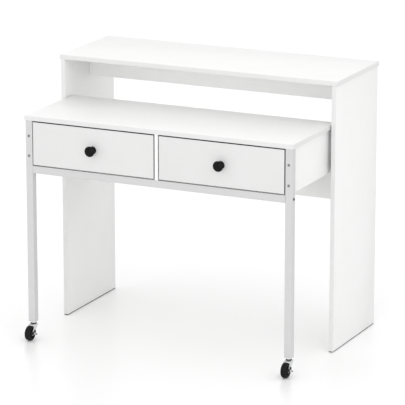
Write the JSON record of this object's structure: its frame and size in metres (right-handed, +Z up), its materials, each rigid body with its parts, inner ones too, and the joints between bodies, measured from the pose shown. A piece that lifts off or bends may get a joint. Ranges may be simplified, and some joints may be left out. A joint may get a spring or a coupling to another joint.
{
  "type": "manicure table",
  "caption": "White pull-out manicure desk: a desk with inset drawers and round knobs rolls on casters out of a fixed frame with side panels and a raised shelf.",
  "frame": {"origin": "on the floor, in the middle of the footprint with the desk pulled out (the rest pose)", "axes": "+X to the right of the person who sits at the desk, +Y away from that person, +Z up"},
  "size_m": [1.01, 0.6894, 0.911],
  "materials": {
    "white_laminate": "smooth white melamine on particleboard, edge-banded",
    "white_hardboard": "smooth painted hardboard",
    "white_steel": "satin white powder coat",
    "slide_steel": "bright zinc plate",
    "zinc_steel": "zinc plate",
    "plated_steel": "bright nickel plate",
    "black_steel": "black oxide",
    "black_knob": "glossy black",
    "black_plastic": "moulded black plastic",
    "black_wheel_core": "moulded black plastic",
    "black_tyre": "soft black tread",
    "white_cap": "moulded white plastic",
    "white_nylon": "natural nylon",
    "beech": "fluted beech"
  },
  "bodies": {
    "frame": {"top_shelf": "white_laminate", "side_panel_left": "white_laminate", "side_panel_right": "white_laminate", "upper_rail": "white_laminate", "lower_rail": "white_laminate", "cam_locks": "zinc_steel", "cam_bolts": "zinc_steel", "cam_covers": "white_cap", "frame_dowels": "beech", "base_strips": "black_plastic", "guide_channel_left": "slide_steel", "guide_channel_right": "slide_steel", "guide_channel_screws": "zinc_steel"},
    "desk": {"desk_top": "white_laminate", "desk_side_left": "white_laminate", "desk_side_right": "white_laminate", "desk_back": "white_laminate", "desk_divider": "white_laminate", "desk_cam_locks": "zinc_steel", "desk_bolts": "zinc_steel", "leg_left": "white_steel", "leg_right": "white_steel", "front_rail": "white_steel", "leg_screws": "zinc_steel", "rail_bolts": "black_steel", "leg_plugs": "white_cap", "roller_pins": "zinc_steel", "slide_channels": "slide_steel", "slide_screws": "zinc_steel", "caster_stems": "plated_steel", "swivel_covers": "black_plastic"},
    "guide_roller_pair": {"guide_rollers": "white_nylon"},
    "drawer_left": {"drawer_left_front": "white_laminate", "drawer_left_knob": "black_knob", "drawer_left_side_inner": "white_laminate", "drawer_left_side_outer": "white_laminate", "drawer_left_back": "white_laminate", "drawer_left_bottom": "white_hardboard", "drawer_left_slide_bars": "slide_steel", "drawer_left_fasteners": "zinc_steel"},
    "cages_left": {"ball_cages_left": "slide_steel"},
    "caster_left": {"caster_fork_left": "plated_steel", "caster_axle_left": "plated_steel"},
    "wheel_left": {"caster_core_left": "black_wheel_core", "caster_tyre_left": "black_tyre"},
    "brake_left": {"caster_brake_left": "black_steel"},
    "drawer_right": {"drawer_right_front": "white_laminate", "drawer_right_knob": "black_knob", "drawer_right_side_inner": "white_laminate", "drawer_right_side_outer": "white_laminate", "drawer_right_back": "white_laminate", "drawer_right_bottom": "white_hardboard", "drawer_right_slide_bars": "slide_steel", "drawer_right_fasteners": "zinc_steel"},
    "cages_right": {"ball_cages_right": "slide_steel"},
    "caster_right": {"caster_fork_right": "plated_steel", "caster_axle_right": "plated_steel"},
    "wheel_right": {"caster_core_right": "black_wheel_core", "caster_tyre_right": "black_tyre"},
    "brake_right": {"caster_brake_right": "black_steel"}
  },
  "joints": [
    {"name": "desk_slide", "type": "slide", "parent": "frame", "child": "desk", "axis": [0, 1, 0], "range_m": [0, 0.294]},
    {"name": "guide_roller_turn", "type": "hinge", "parent": "desk", "child": "guide_roller_pair", "pos_m": [0, 0.02075, 0.625], "axis": [1, 0, 0], "continuous": true},
    {"name": "drawer_left_slide", "type": "slide", "parent": "desk", "child": "drawer_left", "axis": [0, -1, 0], "range_m": [0, 0.19]},
    {"name": "cages_left_slide", "type": "slide", "parent": "desk", "child": "cages_left", "axis": [0, -1, 0], "range_m": [0, 0.095]},
    {"name": "caster_left_swivel", "type": "hinge", "parent": "desk", "child": "caster_left", "pos_m": [-0.465, -0.29475, 0.052], "axis": [0, 0, 1], "continuous": true},
    {"name": "wheel_left_turn", "type": "hinge", "parent": "caster_left", "child": "wheel_left", "pos_m": [-0.465, -0.31975, 0.025], "axis": [1, 0, 0], "continuous": true},
    {"name": "brake_left_lever", "type": "hinge", "parent": "caster_left", "child": "brake_left", "pos_m": [-0.465, -0.31975, 0.025], "axis": [-1, 0, 0], "range_deg": [0, 25]},
    {"name": "drawer_right_slide", "type": "slide", "parent": "desk", "child": "drawer_right", "axis": [0, -1, 0], "range_m": [0, 0.19]},
    {"name": "cages_right_slide", "type": "slide", "parent": "desk", "child": "cages_right", "axis": [0, -1, 0], "range_m": [0, 0.095]},
    {"name": "caster_right_swivel", "type": "hinge", "parent": "desk", "child": "caster_right", "pos_m": [0.465, -0.29475, 0.052], "axis": [0, 0, 1], "continuous": true},
    {"name": "wheel_right_turn", "type": "hinge", "parent": "caster_right", "child": "wheel_right", "pos_m": [0.465, -0.31975, 0.025], "axis": [1, 0, 0], "continuous": true},
    {"name": "brake_right_lever", "type": "hinge", "parent": "caster_right", "child": "brake_right", "pos_m": [0.465, -0.31975, 0.025], "axis": [-1, 0, 0], "range_deg": [0, 25]}
  ],
  "couplings": [
    {"joint": "guide_roller_turn", "follows": "desk_slide", "rad_per_m": -98.039},
    {"joint": "cages_left_slide", "follows": "drawer_left_slide", "ratio": 0.5},
    {"joint": "cages_right_slide", "follows": "drawer_right_slide", "ratio": 0.5}
  ]
}
